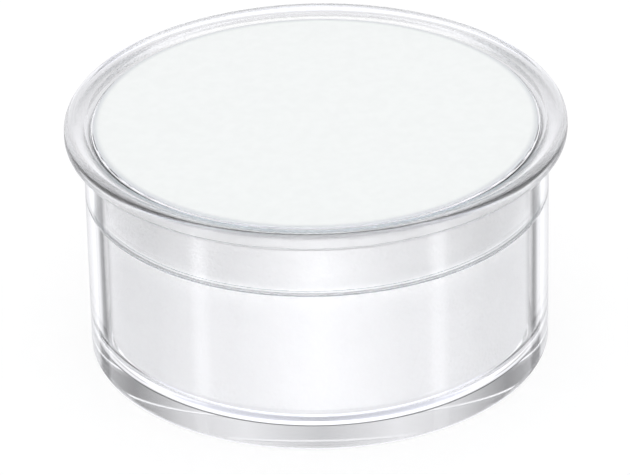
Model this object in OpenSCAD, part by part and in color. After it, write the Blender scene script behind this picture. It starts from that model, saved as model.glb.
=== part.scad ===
// A small round wet palette: a clear cup holds a wet foam pad, a sheet of palette paper lies on the pad,
// and a clear flanged ring slips over the cup's neck and frames the paper.
// Origin at the centre of the cup's underside, +Z up the axis of all four pieces.

/* [Overall] */
// Diameter of the cup below the ring
cup_d = 63; // [54:0.5:80]
// Height from the underside of the cup to the highest point of the flange
total_h = 34; // [27:0.5:46]

/* [Cup] */
// Thickness of the cup's wall below the ring
cup_wall = 2.1; // [1.7:0.1:2.6]
// Thickness of the cup's floor
floor_t = 1.8; // [1.2:0.1:4]
// Radius of the round inside the cup where the wall meets the floor
cavity_fillet = 4.0; // [1:0.25:6]
// Radius of the round on the cup's outer bottom edge
foot_round = 0.6; // [0.2:0.1:1.5]
// Radius of the round on the shoulder's outer edge
shoulder_round = 0.1; // [0.05:0.05:0.3]
// Radius of the rounds on the neck's two top edges
neck_round = 0.25; // [0.05:0.05:0.25]

/* [Ring] */
// Height of the ring from its lower edge to the top of its flange
ring_h = 10.3; // [8:0.1:14]
// Thickness of the ring's skirt
skirt_wall = 1.0; // [0.8:0.05:1.2]
// How far the flange stands out from the skirt
flange_reach = 2.5; // [1.5:0.1:4]
// Thickness of the flange
flange_t = 2.4; // [2:0.1:3.2]
// Radius of the round on the flange's top outer edge
flange_top_round = 1.1; // [0.4:0.1:1.2]
// Radius of the round on the flange's lower outer edge
flange_low_round = 0.6; // [0.2:0.1:0.7]
// Radius of the hollow round under the flange
under_fillet = 0.8; // [0.3:0.1:0.8]
// How far the flange's inner rim stands out from the bore
throat_w = 0.7; // [0.4:0.05:1]
// How far the flange's inner rim lies below its highest point
crown_drop = 0.6; // [0.2:0.05:0.8]
// Radius of the round on the skirt's lower outer edge
skirt_round = 0.1; // [0.05:0.05:0.3]

/* [Paper and pad] */
// Thickness of the wet palette paper
paper_t = 0.3; // [0.2:0.05:0.5]
// Depth of the paper's face below the flange's highest point
paper_drop = 0.85; // [0.85:0.05:1.5]
// How much larger the pad's lower round is than the cup's inner round
pad_round_extra = 0; // [0:0.25:3]

/* [Clearances] */
// Radial gap between the cup's neck and the ring's bore
ring_clearance = 0.1; // [0.05:0.01:0.2]
// Gap left at the joint line between the cup's shoulder and the ring
seam_gap = 0.1; // [0.05:0.01:0.2]
// Radial gap between the paper and the ring's bore
paper_clearance = 0.4; // [0.3:0.05:0.8]
// Radial gap between the foam pad and the cup's wall
pad_clearance = 0.6; // [0.3:0.1:2]
// Gap under the pad, and between the pad, the neck and the paper
lay_gap = 0.1; // [0.05:0.01:0.2]

/* [Hidden] */
$fn = 96;
arc_steps = 8;

// Radii, from the cup's outside inwards and then out to the flange
cup_r = cup_d / 2;
cavity_r = cup_r - cup_wall;
bore_r = cup_r - skirt_wall;
neck_r = bore_r - ring_clearance;
pad_r = cavity_r - pad_clearance;
pad_round = cavity_fillet + pad_round_extra;
paper_r = bore_r - paper_clearance;
rim_r = bore_r + throat_w;
flange_r = cup_r + flange_reach;

// Heights, from the top down
ring_z = total_h - ring_h;
shoulder_z = ring_z - seam_gap;
flange_z = total_h - flange_t;
rim_z = total_h - crown_drop;
paper_z = total_h - paper_drop - paper_t;
neck_z = paper_z - lay_gap;

// Points along an arc round [x, z], from angle a to angle b
function arc(x, z, r, a, b) =
    [for (i = [0:arc_steps]) let (t = a + (b - a) * i / arc_steps) [x + r * cos(t), z + r * sin(t)]];

// Clear cup: floor, wall, shoulder for the ring, and the thinner neck that the ring slips over
module cup() {
    color([0.90, 0.93, 0.96, 0.4])
        rotate_extrude()
            polygon(concat(
                [[0, 0]],
                arc(cup_r - foot_round, foot_round, foot_round, -90, 0),
                arc(cup_r - shoulder_round, shoulder_z - shoulder_round, shoulder_round, 0, 90),
                [[neck_r, shoulder_z]],
                arc(neck_r - neck_round, neck_z - neck_round, neck_round, 0, 90),
                arc(cavity_r + neck_round, neck_z - neck_round, neck_round, 90, 180),
                arc(cavity_r - cavity_fillet, floor_t + cavity_fillet, cavity_fillet, 0, -90),
                [[0, floor_t]]
            ));
}

// White foam pad that holds the water, with its lower edge rounded to clear the cup's inner round
module foam_pad() {
    pad_z = floor_t + lay_gap;
    color([0.96, 0.96, 0.95])
        rotate_extrude()
            polygon(concat(
                [[0, pad_z]],
                arc(pad_r - pad_round, pad_z + pad_round, pad_round, -90, 0),
                [[pad_r, neck_z], [0, neck_z]]
            ));
}

// Round sheet of palette paper, lying on the pad inside the ring's bore
module palette_paper() {
    color([0.97, 0.98, 0.97])
        translate([0, 0, paper_z])
            cylinder(r = paper_r, h = paper_t);
}

// Clear ring: a skirt over the neck and a crowned flange, open through the middle round the paper
module ring() {
    color([0.88, 0.91, 0.96, 0.4])
        rotate_extrude()
            polygon(concat(
                [[bore_r, ring_z]],
                arc(cup_r - skirt_round, ring_z + skirt_round, skirt_round, -90, 0),
                arc(cup_r + under_fillet, flange_z - under_fillet, under_fillet, 180, 90),
                arc(flange_r - flange_low_round, flange_z + flange_low_round, flange_low_round, -90, 0),
                arc(flange_r - flange_top_round, total_h - flange_top_round, flange_top_round, 0, 90),
                [[rim_r, rim_z], [bore_r, rim_z - throat_w]]
            ));
}

cup();
foam_pad();
palette_paper();
ring();
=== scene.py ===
"""A round wet palette: a clear cup, a foam pad, a sheet of palette paper and a clear flanged ring."""
from math import cos, pi, radians, sin

import bpy
from mathutils import Matrix, Vector


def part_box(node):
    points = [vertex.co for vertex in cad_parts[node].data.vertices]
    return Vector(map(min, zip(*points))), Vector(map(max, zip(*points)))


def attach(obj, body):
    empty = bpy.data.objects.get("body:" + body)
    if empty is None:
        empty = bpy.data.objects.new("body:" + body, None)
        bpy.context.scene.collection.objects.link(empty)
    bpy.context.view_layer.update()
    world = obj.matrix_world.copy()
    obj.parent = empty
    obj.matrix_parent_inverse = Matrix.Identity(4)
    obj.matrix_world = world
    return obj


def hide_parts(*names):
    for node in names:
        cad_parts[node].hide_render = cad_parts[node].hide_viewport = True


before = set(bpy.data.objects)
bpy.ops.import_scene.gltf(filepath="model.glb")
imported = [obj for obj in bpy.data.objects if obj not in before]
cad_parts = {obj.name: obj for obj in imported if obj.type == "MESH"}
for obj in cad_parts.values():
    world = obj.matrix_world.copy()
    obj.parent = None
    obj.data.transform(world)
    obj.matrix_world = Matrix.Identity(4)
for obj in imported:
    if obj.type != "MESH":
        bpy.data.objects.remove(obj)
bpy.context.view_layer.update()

MM = 0.001


# Studio. A long lens looks down at the palette from the front, as from a stool at a bench.
# The clear plastic takes its tone from a soft surround, brightest towards the front, and the pale floor
# is left out of what the plastic bends and mirrors.
ring_low, ring_high = (Vector(corner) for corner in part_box("ring"))
flange_radius = ring_high.x
rim_centre = Vector((0, 0, ring_high.z))
CAMERA_ANGLE = radians(27.83)
CAMERA_DISTANCE = 20 * flange_radius
AIM_BELOW_RIM = radians(1.41)
CAMERA_TURN = radians(0.04)
CAMERA_ROLL = radians(-1.24)
FOCAL_LENGTH = 287.8
SENSOR_WIDTH = 36

lens = bpy.data.cameras.new("camera")
lens.lens = FOCAL_LENGTH
lens.sensor_width = SENSOR_WIDTH
lens.clip_start = 10 * MM
camera = bpy.data.objects.new("camera", lens)
bpy.context.collection.objects.link(camera)
camera.location = rim_centre + CAMERA_DISTANCE * Vector((0, -cos(CAMERA_ANGLE), sin(CAMERA_ANGLE)))
camera.rotation_euler = (
    Matrix.Rotation(CAMERA_TURN, 4, "Z")
    @ Matrix.Rotation(pi / 2 - CAMERA_ANGLE - AIM_BELOW_RIM, 4, "X")
    @ Matrix.Rotation(CAMERA_ROLL, 4, "Z")
).to_euler()
bpy.context.scene.camera = camera

bpy.context.scene.view_settings.view_transform = "Standard"
light_paths = bpy.context.scene.cycles
light_paths.max_bounces = 24
light_paths.glossy_bounces = 16
light_paths.transmission_bounces = 20

FLOOR_HALF = 3.0
FLOOR_DROP = 0.05 * MM
FLOOR_GREY = (0.2, 0.2, 0.2, 1)
FLOOR_ROUGHNESS = 0.9
FLOOR_GLOW = 0.81
floor_sheet = bpy.data.meshes.new("floor")
square = ((-1, -1), (1, -1), (1, 1), (-1, 1))
corners = [(x * FLOOR_HALF, y * FLOOR_HALF, -FLOOR_DROP) for x, y in square]
floor_sheet.from_pydata(corners, [], [(0, 1, 2, 3)])
floor = bpy.data.objects.new("floor", floor_sheet)
bpy.context.collection.objects.link(floor)
floor_paint = bpy.data.materials.new("floor_paint")
floor_paint.use_nodes = True
paint = floor_paint.node_tree.nodes["Principled BSDF"].inputs
paint["Base Color"].default_value = FLOOR_GREY
paint["Roughness"].default_value = FLOOR_ROUGHNESS
paint["Emission Color"].default_value = (1, 1, 1, 1)
paint["Emission Strength"].default_value = FLOOR_GLOW
floor_sheet.materials.append(floor_paint)
floor.visible_transmission = False
floor.visible_glossy = False

world = bpy.data.worlds.new("studio")
bpy.context.scene.world = world
world.use_nodes = True
node, link = world.node_tree.nodes.new, world.node_tree.links.new


def mix_colours(node, link, share, low, high, blend="MIX"):
    """Two colours mixed by a share from 0 to 1, each given as a socket or as a plain value."""
    mixed = node("ShaderNodeMix")
    mixed.data_type = "RGBA"
    mixed.blend_type = blend
    ends = {socket.identifier: socket for socket in mixed.inputs}
    for given, name in ((share, "Factor_Float"), (low, "A_Color"), (high, "B_Color")):
        if isinstance(given, bpy.types.NodeSocket):
            link(given, ends[name])
        else:
            ends[name].default_value = given
    return {socket.identifier: socket for socket in mixed.outputs}["Result_Color"]


def measure(operation, *inputs):
    """A number worked out from sockets or plain values."""
    step = node("ShaderNodeMath")
    step.operation = operation
    for socket, given in zip(step.inputs, inputs):
        if isinstance(given, (int, float)):
            socket.default_value = given
        else:
            link(given, socket)
    return step.outputs[0]


def tones_round(half_turn_share, stops, tint):
    """The surround's tone at each angle from the front, from (degrees, brightness) pairs, in one tint."""
    ramp = node("ShaderNodeValToRGB")
    band = ramp.color_ramp.elements
    while len(band) < len(stops):
        band.new(1.0)
    for stop, (angle, bright) in zip(band, stops):
        stop.position = angle / 180
        stop.color = [bright * part for part in tint] + [1]
    link(half_turn_share, ramp.inputs["Fac"])
    return ramp.outputs["Color"]


heading = node("ShaderNodeSeparateXYZ")
link(node("ShaderNodeTexCoord").outputs["Generated"], heading.inputs[0])
east, north, up = heading.outputs
compass = measure("ARCTAN2", east, measure("MULTIPLY", north, -1))
around = measure("MULTIPLY", measure("ABSOLUTE", compass), 1 / pi)
height = measure("MULTIPLY", measure("ARCSINE", up), 180 / pi)
# Tones round the palette from under it to overhead, then the tint and the two heights, in degrees,
# between which each one takes over from the one before.
BELOW = [(0, 0.5), (100, 0.85), (150, 1.5), (180, 1.7)]
BENCH = [
    (0, 3.5), (20, 2.7), (45, 2.0), (57, 2.1), (60, 2.8), (65, 2.8), (68, 1.9), (90, 1.3), (120, 1.2),
    (131, 1.2), (135, 0.25), (144, 0.28), (149, 1.25), (158, 1.0), (168, 0.85), (180, 0.85),
]
EDGES = [(0, 4.0), (30, 3.4), (60, 2.6), (90, 1.8), (120, 1.8), (140, 1.5), (160, 0.85), (180, 0.75)]
LEVEL = [(0, 2.0), (45, 1.8), (90, 1.2), (120, 0.95), (180, 1.0)]
UPPER = [(0, 0.85), (60, 0.85), (90, 0.7), (110, 0.32), (132, 0.2), (150, 0.6), (165, 0.78), (180, 0.48)]
ABOVE = [(0, 0.8), (180, 0.9)]
ZENITH = [(0, 1.3), (180, 1.3)]
COOL, LILAC, NEUTRAL = (0.88, 0.9, 1.0), (0.98, 0.983, 1.01), (1, 1, 1)
tone = tones_round(around, BELOW, COOL)
for stops, tint, start, end in (
    (BENCH, LILAC, -48, -40),
    (EDGES, LILAC, -26, -22),
    (LEVEL, LILAC, -14, -6),
    (UPPER, LILAC, 22, 27),
    (ABOVE, NEUTRAL, 38, 44),
    (ZENITH, NEUTRAL, 54, 64),
):
    share = node("ShaderNodeMapRange")
    share.interpolation_type = "SMOOTHSTEP"
    share.inputs["From Min"].default_value = start
    share.inputs["From Max"].default_value = end
    link(height, share.inputs["Value"])
    tone = mix_colours(node, link, share.outputs["Result"], tone, tones_round(around, stops, tint))
link(tone, world.node_tree.nodes["Background"].inputs["Color"])


# Cup: one clear moulding with a floor, a wall, a shoulder for the ring and a thinner neck above it.
# It stands flat on the bench and carries the pad, the paper and the ring.
cup_high = Vector(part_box("cup")[1])
cup_radius, neck_top = cup_high.x, cup_high.z
CUP_WALL = 2.1 * MM
CUP_FLOOR = 1.8 * MM
CAVITY_ROUND = 4.0 * MM
FOOT_ROUND = 0.6 * MM
NECK_ROUND = 0.25 * MM
SHOULDER_ROUND = 0.1 * MM
SKIRT_WALL = 1.0 * MM
RING_CLEARANCE = 0.1 * MM
SEAM_GAP = 0.1 * MM
cavity_radius = cup_radius - CUP_WALL
bore_radius = cup_radius - SKIRT_WALL
neck_radius = bore_radius - RING_CLEARANCE
shoulder = ring_low.z - SEAM_GAP


def arc(x, z, radius, start, end, steps=10):
    """Points of a round in an outline, from one angle to another, in degrees."""
    turns = [radians(start + (end - start) * i / steps) for i in range(steps + 1)]
    return [(x + radius * cos(t), z + radius * sin(t)) for t in turns]


LONG_RUN = 0.8 * MM
GUARD_STEP = 0.15 * MM


def guarded(outline):
    """The outline with a point near each end of its long straight runs, to keep their shading flat."""
    kept = []
    for here, there in zip(outline, outline[1:] + outline[:1]):
        kept.append(here)
        run = Vector(there) - Vector(here)
        if run.length > LONG_RUN and max(here[0], there[0]) > 0:
            step = run.normalized() * GUARD_STEP
            kept += [tuple(Vector(here) + step), tuple(Vector(there) - step)]
    return kept


def new_tree(name, sizes):
    """A node tree with a geometry input, named sizes and a finish, and what its nodes are made with."""
    tree = bpy.data.node_groups.new(name, "GeometryNodeTree")
    tree.interface.new_socket("Piece", in_out="INPUT", socket_type="NodeSocketGeometry")
    for size, kind in sizes.items():
        tree.interface.new_socket(size, in_out="INPUT", socket_type="NodeSocket" + kind)
    tree.interface.new_socket("Finish", in_out="INPUT", socket_type="NodeSocketMaterial")
    tree.interface.new_socket("Piece", in_out="OUTPUT", socket_type="NodeSocketGeometry")
    return tree, tree.nodes.new("NodeGroupInput").outputs, tree.nodes.new


def end_tree(tree, given, geometry):
    """Ends a tree in plain geometry with its finish."""
    real = tree.nodes.new("GeometryNodeRealizeInstances")
    finish = tree.nodes.new("GeometryNodeSetMaterial")
    tree.links.new(geometry, real.inputs["Geometry"])
    tree.links.new(real.outputs["Geometry"], finish.inputs["Geometry"])
    tree.links.new(given["Finish"], finish.inputs["Material"])
    tree.links.new(finish.outputs["Geometry"], tree.nodes.new("NodeGroupOutput").inputs["Piece"])


MERGE_DISTANCE = 0.001 * MM


def lathe():
    """A tree that turns an outline round the Z axis and keeps its real corners crisp."""
    sizes = {"Segments": "Int", "Guide radius": "Float", "Crisp angle": "Float"}
    tree, given, node = new_tree("lathe", sizes)
    link = tree.links.new
    outline = node("GeometryNodeMeshToCurve")
    guide = node("GeometryNodeCurvePrimitiveCircle")
    turned = node("GeometryNodeCurveToMesh")
    merged = node("GeometryNodeMergeByDistance")
    merged.inputs["Distance"].default_value = MERGE_DISTANCE
    smooth = node("GeometryNodeSetShadeSmooth")
    corner = node("GeometryNodeInputMeshEdgeAngle")
    soft = node("FunctionNodeCompare")
    soft.operation = "LESS_THAN"
    crisp = node("GeometryNodeSetShadeSmooth")
    crisp.domain = "EDGE"
    flipped = node("GeometryNodeFlipFaces")
    link(given["Piece"], outline.inputs["Mesh"])
    link(given["Segments"], guide.inputs["Resolution"])
    link(given["Guide radius"], guide.inputs["Radius"])
    link(guide.outputs["Curve"], turned.inputs["Curve"])
    link(outline.outputs["Curve"], turned.inputs["Profile Curve"])
    link(turned.outputs["Mesh"], merged.inputs["Geometry"])
    link(merged.outputs["Geometry"], smooth.inputs["Geometry"])
    link(smooth.outputs["Geometry"], crisp.inputs["Geometry"])
    link(corner.outputs["Unsigned Angle"], soft.inputs["A"])
    link(given["Crisp angle"], soft.inputs["B"])
    link(soft.outputs["Result"], crisp.inputs["Shade Smooth"])
    link(crisp.outputs["Geometry"], flipped.inputs["Mesh"])
    end_tree(tree, given, flipped.outputs["Mesh"])
    return tree


def apply_tree(piece, tree, values):
    """Adds a tree to a piece with its named sizes set."""
    work = piece.modifiers.new(tree.name, "NODES")
    work.node_group = tree
    socket = {item.name: item.identifier for item in tree.interface.items_tree if item.in_out == "INPUT"}
    for name, value in values.items():
        work[socket[name]] = value


LATHE = lathe()
SEGMENTS = 288
GUIDE_RADIUS = 20 * MM
CRISP_ANGLE = radians(30)


def turn(name, outline, finish, skin=None, skin_sizes=None):
    """A closed piece of revolution as a plain mesh, from its (radius, height) outline, anticlockwise."""
    points = [(radius - GUIDE_RADIUS, -height, 0) for radius, height in outline]
    blank_mesh = bpy.data.meshes.new(name + "_outline")
    around_outline = [(i, (i + 1) % len(outline)) for i in range(len(outline))]
    steps = [(here, there) for here, there in around_outline if outline[here][0] or outline[there][0]]
    blank_mesh.from_pydata(points, steps, [])
    blank = bpy.data.objects.new(name + "_outline", blank_mesh)
    bpy.context.collection.objects.link(blank)
    turning = {"Segments": SEGMENTS, "Guide radius": GUIDE_RADIUS, "Crisp angle": CRISP_ANGLE}
    apply_tree(blank, LATHE, {**turning, "Finish": finish})
    if skin:
        apply_tree(blank, skin, {**skin_sizes, "Finish": finish})
    mesh = bpy.data.meshes.new_from_object(blank.evaluated_get(bpy.context.evaluated_depsgraph_get()))
    bpy.data.objects.remove(blank)
    bpy.data.meshes.remove(blank_mesh)
    piece = bpy.data.objects.new(name, mesh)
    bpy.context.collection.objects.link(piece)
    return piece


PLASTIC_INDEX = 1.5
GLOSS_PATCH = 9 * MM
GLOSS_WEAR = 0.03
RIPPLE_DEPTH = 0.004 * MM
HAZE_BLEND = 0.3 * MM
# Colour and half-height of the painted shade at the seam between cup and ring.
JOINT_SHADE_TONE = (0.3, 0.35, 0.37, 1)
JOINT_SHADE_REACH = 0.6 * SEAM_GAP


def clear_plastic(name, ripple_width, hazed_above, haze):
    """Clear polished plastic: uneven gloss, a moulded wall's faint ripple, and a painted shade that
    darkens it in a thin band at the joint's height.
    """
    plastic = bpy.data.materials.new(name)
    plastic.use_nodes = True
    node, link = plastic.node_tree.nodes.new, plastic.node_tree.links.new
    shader = plastic.node_tree.nodes["Principled BSDF"].inputs
    shader["Transmission Weight"].default_value = 1.0
    shader["IOR"].default_value = PLASTIC_INDEX
    place = node("ShaderNodeTexCoord")
    gloss = node("ShaderNodeTexNoise")
    gloss.inputs["Scale"].default_value = 1 / GLOSS_PATCH
    gloss.inputs["Detail"].default_value = 3
    gloss_range = node("ShaderNodeMapRange")
    gloss_range.inputs["To Max"].default_value = GLOSS_WEAR
    handled = node("ShaderNodeMapRange")
    handled.inputs["From Min"].default_value = hazed_above - HAZE_BLEND
    handled.inputs["From Max"].default_value = hazed_above + HAZE_BLEND
    handled.inputs["To Max"].default_value = haze
    worn = node("ShaderNodeMath")
    worn.operation = "ADD"
    ripple = node("ShaderNodeTexNoise")
    ripple.inputs["Scale"].default_value = 1 / ripple_width
    ripple.inputs["Detail"].default_value = 0
    relief = node("ShaderNodeBump")
    relief.inputs["Strength"].default_value = 1.0
    relief.inputs["Distance"].default_value = RIPPLE_DEPTH
    heights = node("ShaderNodeSeparateXYZ")
    # Painted shade: the plastic's colour is darkened in a thin band at the seam's height, standing in for
    # the shade in the joint between cup and ring.
    joint_shade_mask = node("ShaderNodeMath")
    joint_shade_mask.operation = "COMPARE"
    joint_shade_mask.inputs[1].default_value = shoulder + SEAM_GAP / 2
    joint_shade_mask.inputs[2].default_value = JOINT_SHADE_REACH
    link(place.outputs["Object"], heights.inputs[0])
    link(heights.outputs["Z"], joint_shade_mask.inputs[0])
    link(mix_colours(node, link, joint_shade_mask.outputs[0], (1, 1, 1, 1), JOINT_SHADE_TONE), shader["Base Color"])
    link(place.outputs["Object"], gloss.inputs["Vector"])
    link(gloss.outputs["Fac"], gloss_range.inputs["Value"])
    link(heights.outputs["Z"], handled.inputs["Value"])
    link(gloss_range.outputs["Result"], worn.inputs[0])
    link(handled.outputs["Result"], worn.inputs[1])
    link(worn.outputs[0], shader["Roughness"])
    link(place.outputs["Object"], ripple.inputs["Vector"])
    link(ripple.outputs["Fac"], relief.inputs["Height"])
    link(relief.outputs["Normal"], shader["Normal"])
    return plastic


CUP_RIPPLE = 14 * MM
cup = turn(
    "clear_cup",
    guarded(
        [(0, 0)]
        + arc(cup_radius - FOOT_ROUND, FOOT_ROUND, FOOT_ROUND, -90, 0)
        + arc(cup_radius - SHOULDER_ROUND, shoulder - SHOULDER_ROUND, SHOULDER_ROUND, 0, 90, 6)
        + [(neck_radius, shoulder)]
        + arc(neck_radius - NECK_ROUND, neck_top - NECK_ROUND, NECK_ROUND, 0, 90, 6)
        + arc(cavity_radius + NECK_ROUND, neck_top - NECK_ROUND, NECK_ROUND, 90, 180, 6)
        + arc(cavity_radius - CAVITY_ROUND, CUP_FLOOR + CAVITY_ROUND, CAVITY_ROUND, 0, -90, 24)
        + [(0, CUP_FLOOR)]
    ),
    clear_plastic("cup_plastic", CUP_RIPPLE, hazed_above=neck_top, haze=0.0),
)
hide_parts("cup")
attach(cup, "cup_body")


# Foam pad: a round of white open-cell foam, cut to drop into the cup, that holds the water.
# Its lower edge is rounded by the cup's inner round, and its skin is pitted all over with fine pores.
pad_low, pad_high = (Vector(corner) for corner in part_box("foam_pad"))
pad_radius = pad_high.x
PAD_ROUND = 4.0 * MM
PAD_TOP_ROUND = 0.8 * MM
PAD_STEP = 0.6 * MM
PORE_SIZE = 1.1 * MM
PORE_DEPTH = 0.12 * MM
PORE_SPREAD = 0.6
PORE_SEED = 3.0
CELL_SIZE = 0.55 * MM
CELL_RELIEF = 0.15 * MM
CELL_MIDDLE = 0.05
CELL_EDGE = 0.45
# Painted shade: each cell's hollow middle is darkened to this share of the foam's tone.
CELL_SHADE = 0.95
CELL_BUMP = 0.5
# Painted shade: the foam is painted greyer below the cup's shoulder, evening its brightness with the part
# under the ring; the blend runs over this height.
SHOULDER_BLEND = 5 * MM
FOAM_ABOVE_SHOULDER = (0.975, 0.975, 0.97, 1)
FOAM_BELOW_SHOULDER = (0.78, 0.78, 0.78, 1)
FOAM_ROUGHNESS = 0.95
FOAM_SHEEN = 0.15


def even_steps(outline, step):
    """The outline with its open run, from first to last point, cut into steps of one length."""
    kept = []
    for here, there in zip(outline, outline[1:]):
        run = Vector(there) - Vector(here)
        count = max(1, round(run.length / step))
        kept += [tuple(Vector(here) + run * i / count) for i in range(count)]
    return kept + [outline[-1]]


def pored_skin():
    """A tree that sinks rounded pores into a surface along its normals."""
    sizes = {"Pore size": "Float", "Pore depth": "Float", "Seed": "Float"}
    tree, given, node = new_tree("pored_skin", sizes)
    link = tree.links.new
    scale = node("ShaderNodeMath")
    scale.operation = "DIVIDE"
    scale.inputs[0].default_value = 1.0
    pores = node("ShaderNodeTexVoronoi")
    pores.voronoi_dimensions = "4D"
    pores.feature = "SMOOTH_F1"
    floor_of_pore = node("ShaderNodeMapRange")
    floor_of_pore.inputs["From Max"].default_value = PORE_SPREAD
    floor_of_pore.inputs["To Min"].default_value = -1.0
    floor_of_pore.inputs["To Max"].default_value = 0.0
    sink = node("ShaderNodeMath")
    sink.operation = "MULTIPLY"
    along = node("ShaderNodeVectorMath")
    along.operation = "SCALE"
    moved = node("GeometryNodeSetPosition")
    link(given["Pore size"], scale.inputs[1])
    link(scale.outputs[0], pores.inputs["Scale"])
    link(given["Seed"], pores.inputs["W"])
    link(node("GeometryNodeInputPosition").outputs[0], pores.inputs["Vector"])
    link(pores.outputs["Distance"], floor_of_pore.inputs["Value"])
    link(floor_of_pore.outputs["Result"], sink.inputs[0])
    link(given["Pore depth"], sink.inputs[1])
    link(node("GeometryNodeInputNormal").outputs[0], along.inputs[0])
    link(sink.outputs[0], along.inputs["Scale"])
    link(given["Piece"], moved.inputs["Geometry"])
    link(along.outputs[0], moved.inputs["Offset"])
    end_tree(tree, given, moved.outputs["Geometry"])
    return tree


def white_foam():
    """White foam: matt, with a fine cell texture whose hollows are painted a little darker as shade, and a
    painted shade that greys it below the cup's shoulder.
    """
    foam = bpy.data.materials.new("white_foam")
    foam.use_nodes = True
    node, link = foam.node_tree.nodes.new, foam.node_tree.links.new
    shader = foam.node_tree.nodes["Principled BSDF"].inputs
    place = node("ShaderNodeTexCoord")
    cells = node("ShaderNodeTexVoronoi")
    cells.inputs["Scale"].default_value = 1 / CELL_SIZE
    depths = node("ShaderNodeMapRange")
    depths.inputs["From Min"].default_value = CELL_MIDDLE
    depths.inputs["From Max"].default_value = CELL_EDGE
    heights = node("ShaderNodeSeparateXYZ")
    above_shoulder = node("ShaderNodeMapRange")
    above_shoulder.interpolation_type = "SMOOTHSTEP"
    above_shoulder.inputs["From Min"].default_value = shoulder - SHOULDER_BLEND
    above_shoulder.inputs["From Max"].default_value = shoulder + SHOULDER_BLEND / 2
    # Painted shade in the middle of each cell, where the pores sink.
    cell_shade = node("ShaderNodeMapRange")
    cell_shade.inputs["To Min"].default_value = CELL_SHADE
    relief = node("ShaderNodeBump")
    relief.inputs["Strength"].default_value = CELL_BUMP
    relief.inputs["Distance"].default_value = CELL_RELIEF
    link(place.outputs["Object"], cells.inputs["Vector"])
    link(cells.outputs["Distance"], depths.inputs["Value"])
    link(depths.outputs["Result"], cell_shade.inputs["Value"])
    link(place.outputs["Object"], heights.inputs[0])
    link(heights.outputs["Z"], above_shoulder.inputs["Value"])
    # Painted shade: greyer foam below the shoulder, plain white above.
    foam_tone = mix_colours(node, link, above_shoulder.outputs["Result"], FOAM_BELOW_SHOULDER, FOAM_ABOVE_SHOULDER)
    celled_tone = mix_colours(node, link, 1.0, foam_tone, cell_shade.outputs["Result"], "MULTIPLY")
    link(celled_tone, shader["Base Color"])
    link(cells.outputs["Distance"], relief.inputs["Height"])
    link(relief.outputs["Normal"], shader["Normal"])
    shader["Roughness"].default_value = FOAM_ROUGHNESS
    shader["Sheen Weight"].default_value = FOAM_SHEEN
    return foam


pad = turn(
    "foam_pad_soft",
    even_steps(
        [(0, pad_low.z)]
        + arc(pad_radius - PAD_ROUND, pad_low.z + PAD_ROUND, PAD_ROUND, -90, 0, 16)
        + arc(pad_radius - PAD_TOP_ROUND, pad_high.z - PAD_TOP_ROUND, PAD_TOP_ROUND, 0, 90, 5)
        + [(0, pad_high.z)],
        PAD_STEP,
    ),
    white_foam(),
    skin=pored_skin(),
    skin_sizes={"Pore size": PORE_SIZE, "Pore depth": PORE_DEPTH, "Seed": PORE_SEED},
)
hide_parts("foam_pad")
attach(pad, "pad_body")


# Palette paper: a round of damp white parchment that lies on the pad and shows inside the ring.
# It is thin and faintly cockled, and a painted shade darkens a band round its edge, where the ring's inner
# wall shades it.
paper_low, paper_high = (Vector(corner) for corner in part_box("palette_paper"))
paper_radius = paper_high.x
PAPER_EDGE_ROUND = 0.12 * MM
PAPER_STEP = 1.0 * MM
# Width and tone of the painted shade round the paper's edge.
EDGE_SHADE_WIDTH = 1.0 * MM
EDGE_SHADE_TONE = (0.7, 0.72, 0.74, 1)
COCKLE_WIDTH = 16 * MM
COCKLE_HEIGHT = 0.05 * MM
COCKLE_SEED = 7.0
CLOUD_SIZE = 1.3 * MM
CLOUD_TONES = ((0.35, (0.905, 0.925, 0.912, 1)), (0.65, (0.925, 0.945, 0.932, 1)))
FIBRE_SIZE = 0.35 * MM
FIBRE_RELIEF = 0.03 * MM
FIBRE_BUMP = 0.25
FIBRE_CURL = 1.5
GLOSSIEST_PAPER = 0.55
DULLEST_PAPER = 0.8


def cockled_sheet():
    """A tree that lets a flat sheet swell gently up and down."""
    sizes = {"Cockle width": "Float", "Cockle height": "Float", "Seed": "Float"}
    tree, given, node = new_tree("cockled_sheet", sizes)
    link = tree.links.new
    scale = node("ShaderNodeMath")
    scale.operation = "DIVIDE"
    scale.inputs[0].default_value = 1.0
    swell = node("ShaderNodeTexNoise")
    swell.noise_dimensions = "4D"
    swell.inputs["Detail"].default_value = 1.0
    centred = node("ShaderNodeMath")
    centred.operation = "SUBTRACT"
    centred.inputs[1].default_value = 0.5
    lift = node("ShaderNodeMath")
    lift.operation = "MULTIPLY"
    upward = node("ShaderNodeCombineXYZ")
    moved = node("GeometryNodeSetPosition")
    link(given["Cockle width"], scale.inputs[1])
    link(scale.outputs[0], swell.inputs["Scale"])
    link(given["Seed"], swell.inputs["W"])
    link(node("GeometryNodeInputPosition").outputs[0], swell.inputs["Vector"])
    link(swell.outputs["Fac"], centred.inputs[0])
    link(centred.outputs[0], lift.inputs[0])
    link(given["Cockle height"], lift.inputs[1])
    link(lift.outputs[0], upward.inputs["Z"])
    link(given["Piece"], moved.inputs["Geometry"])
    link(upward.outputs[0], moved.inputs["Offset"])
    end_tree(tree, given, moved.outputs["Geometry"])
    return tree


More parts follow.
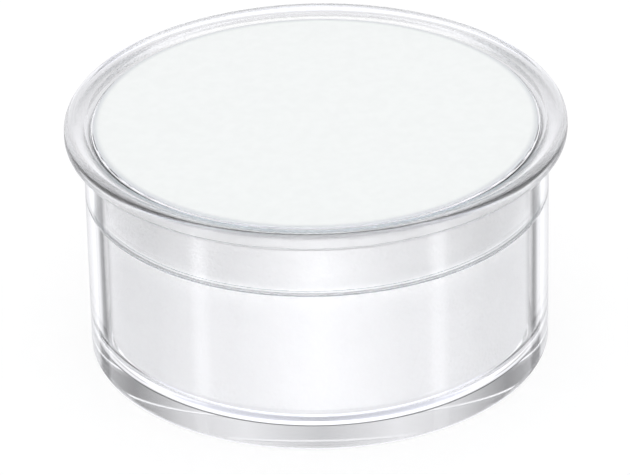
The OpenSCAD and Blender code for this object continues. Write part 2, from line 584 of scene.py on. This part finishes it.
def damp_parchment():
    """Damp parchment: cool white, faintly cloudy, with short fibres, a slight wet sheen and a painted
    shade round its edge.
    """
    parchment = bpy.data.materials.new("damp_parchment")
    parchment.use_nodes = True
    node, link = parchment.node_tree.nodes.new, parchment.node_tree.links.new
    shader = parchment.node_tree.nodes["Principled BSDF"].inputs
    place = node("ShaderNodeTexCoord")
    clouds = node("ShaderNodeTexNoise")
    clouds.inputs["Scale"].default_value = 1 / CLOUD_SIZE
    clouds.inputs["Detail"].default_value = 3
    tone = node("ShaderNodeValToRGB")
    for stop, (place_on_ramp, white) in zip(tone.color_ramp.elements, CLOUD_TONES):
        stop.position = place_on_ramp
        stop.color = white
    fibres = node("ShaderNodeTexNoise")
    fibres.inputs["Scale"].default_value = 1 / FIBRE_SIZE
    fibres.inputs["Detail"].default_value = 3
    fibres.inputs["Distortion"].default_value = FIBRE_CURL
    relief = node("ShaderNodeBump")
    relief.inputs["Strength"].default_value = FIBRE_BUMP
    relief.inputs["Distance"].default_value = FIBRE_RELIEF
    wet = node("ShaderNodeMapRange")
    wet.inputs["To Min"].default_value = GLOSSIEST_PAPER
    wet.inputs["To Max"].default_value = DULLEST_PAPER
    flat_place = node("ShaderNodeVectorMath")
    flat_place.operation = "MULTIPLY"
    flat_place.inputs[1].default_value = (1, 1, 0)
    from_axis = node("ShaderNodeVectorMath")
    from_axis.operation = "LENGTH"
    # Painted shade: the paper darkens over a narrow band inside its edge, where the ring shades it.
    near_edge = node("ShaderNodeMapRange")
    near_edge.interpolation_type = "SMOOTHSTEP"
    near_edge.inputs["From Min"].default_value = paper_radius - EDGE_SHADE_WIDTH
    near_edge.inputs["From Max"].default_value = paper_radius
    link(place.outputs["Object"], flat_place.inputs[0])
    link(flat_place.outputs[0], from_axis.inputs[0])
    link(from_axis.outputs["Value"], near_edge.inputs["Value"])
    link(place.outputs["Object"], clouds.inputs["Vector"])
    link(clouds.outputs["Fac"], tone.inputs["Fac"])
    paper_tone = mix_colours(node, link, near_edge.outputs["Result"], tone.outputs["Color"], EDGE_SHADE_TONE)
    link(paper_tone, shader["Base Color"])
    link(clouds.outputs["Fac"], wet.inputs["Value"])
    link(wet.outputs["Result"], shader["Roughness"])
    link(place.outputs["Object"], fibres.inputs["Vector"])
    link(fibres.outputs["Fac"], relief.inputs["Height"])
    link(relief.outputs["Normal"], shader["Normal"])
    return parchment


paper = turn(
    "palette_paper_sheet",
    even_steps(
        [(0, paper_low.z)]
        + arc(paper_radius - PAPER_EDGE_ROUND, paper_low.z + PAPER_EDGE_ROUND, PAPER_EDGE_ROUND, -90, 0, 4)
        + arc(paper_radius - PAPER_EDGE_ROUND, paper_high.z - PAPER_EDGE_ROUND, PAPER_EDGE_ROUND, 0, 90, 4)
        + [(0, paper_high.z)],
        PAPER_STEP,
    ),
    damp_parchment(),
    skin=cockled_sheet(),
    skin_sizes={"Cockle width": COCKLE_WIDTH, "Cockle height": COCKLE_HEIGHT, "Seed": COCKLE_SEED},
)
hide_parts("palette_paper")
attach(paper, "paper_body")


# Ring: a clear moulding that slips over the cup's neck and frames the paper.
# Its flange has a crowned top, a full outer edge and a small hollow round where it meets the skirt.
FLANGE_THICKNESS = 2.4 * MM
FLANGE_TOP_ROUND = 1.1 * MM
FLANGE_LOW_ROUND = 0.6 * MM
UNDER_FILLET = 0.8 * MM
THROAT_WIDTH = 0.7 * MM
CROWN_DROP = 0.6 * MM
SKIRT_ROUND = 0.1 * MM
RING_RIPPLE = 11 * MM
FLANGE_HAZE = 0.22
ring_top, ring_bottom = ring_high.z, ring_low.z
flange_under = ring_top - FLANGE_THICKNESS
rim_height = ring_top - CROWN_DROP

ring = turn(
    "clear_ring",
    guarded(
        [(bore_radius, ring_bottom)]
        + arc(cup_radius - SKIRT_ROUND, ring_bottom + SKIRT_ROUND, SKIRT_ROUND, -90, 0, 6)
        + arc(cup_radius + UNDER_FILLET, flange_under - UNDER_FILLET, UNDER_FILLET, 180, 90)
        + arc(flange_radius - FLANGE_LOW_ROUND, flange_under + FLANGE_LOW_ROUND, FLANGE_LOW_ROUND, -90, 0)
        + arc(flange_radius - FLANGE_TOP_ROUND, ring_top - FLANGE_TOP_ROUND, FLANGE_TOP_ROUND, 0, 90, 16)
        + [(bore_radius + THROAT_WIDTH, rim_height), (bore_radius, rim_height - THROAT_WIDTH)]
    ),
    clear_plastic("ring_plastic", RING_RIPPLE, hazed_above=flange_under, haze=FLANGE_HAZE),
)
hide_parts("ring")
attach(ring, "ring_body")
